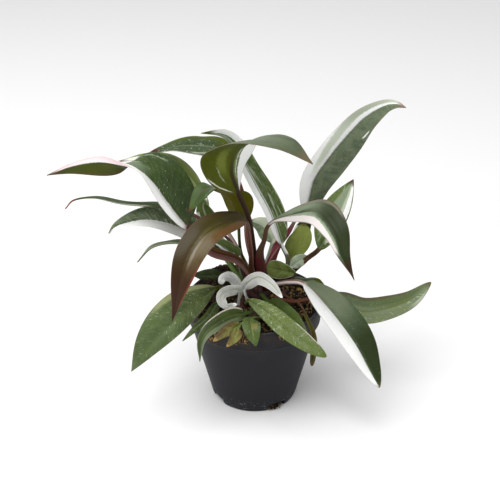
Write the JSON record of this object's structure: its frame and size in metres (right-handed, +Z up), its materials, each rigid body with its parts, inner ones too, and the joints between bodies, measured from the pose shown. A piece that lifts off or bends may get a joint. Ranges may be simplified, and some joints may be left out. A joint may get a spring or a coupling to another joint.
{
  "type": "potted variegated philodendron",
  "caption": "Young clump of a red-stalked philodendron with lance-shaped, half-white leaves, standing in soil in a small tapered nursery pot.",
  "frame": {"origin": "centre of the pot's flat underside", "axes": "+Z up along the pot's axis, -Y towards the plant's showing side, +X to the right as seen from that side"},
  "size_m": [0.1643, 0.0831, 0.1423],
  "materials": {
    "pot_plastic": "matte charcoal grey moulded plastic",
    "soil": null,
    "crown": null,
    "leaf_green": null,
    "leaf_olive": null,
    "leaf_bronze": null,
    "leaf_cream": null,
    "leaf_withered": null
  },
  "bodies": {
    "root": {"leaf_crest": "leaf_green", "leaf_right_arch": "leaf_green", "leaf_bronze": "leaf_bronze", "leaf_left_banner": "leaf_green", "leaf_left_shade": "leaf_olive", "leaf_left_ribbon": "leaf_green", "leaf_left_pale_edge": "leaf_green", "leaf_left_narrow": "leaf_green", "leaf_back_left": "leaf_green", "leaf_olive_arch": "leaf_olive", "leaf_striped": "leaf_green", "leaf_tall_right": "leaf_green", "leaf_right_upright": "leaf_green", "leaf_back_right": "leaf_olive", "leaf_back_flecked": "leaf_green", "leaf_small_green": "leaf_green", "leaf_back_sage": "leaf_green", "leaf_back_cream": "leaf_cream", "leaf_inner_striped": "leaf_green", "leaf_inner_left": "leaf_green", "leaf_low_right": "leaf_green", "leaf_right_wing": "leaf_green", "leaf_rim_curl": "leaf_withered", "leaf_front_right": "leaf_green", "leaf_front_under": "leaf_green", "leaf_front_left": "leaf_green", "leaf_withered": "leaf_withered", "leaf_front_small": "leaf_green", "leaf_low_left": "leaf_green", "leaf_low_left_under": "leaf_green", "leaf_on_soil": "leaf_green", "leaf_white_hook": "leaf_cream", "leaf_white_curl": "leaf_cream", "leaf_white_arch": "leaf_cream", "leaf_dry_strip": "leaf_withered", "crown_main": "crown", "crown_front": "crown", "crown_right": "crown", "crown_back_right": "crown", "crown_left": "crown", "crown_rim": "crown", "soil": "soil", "pot": "pot_plastic"}
  },
  "joints": []
}
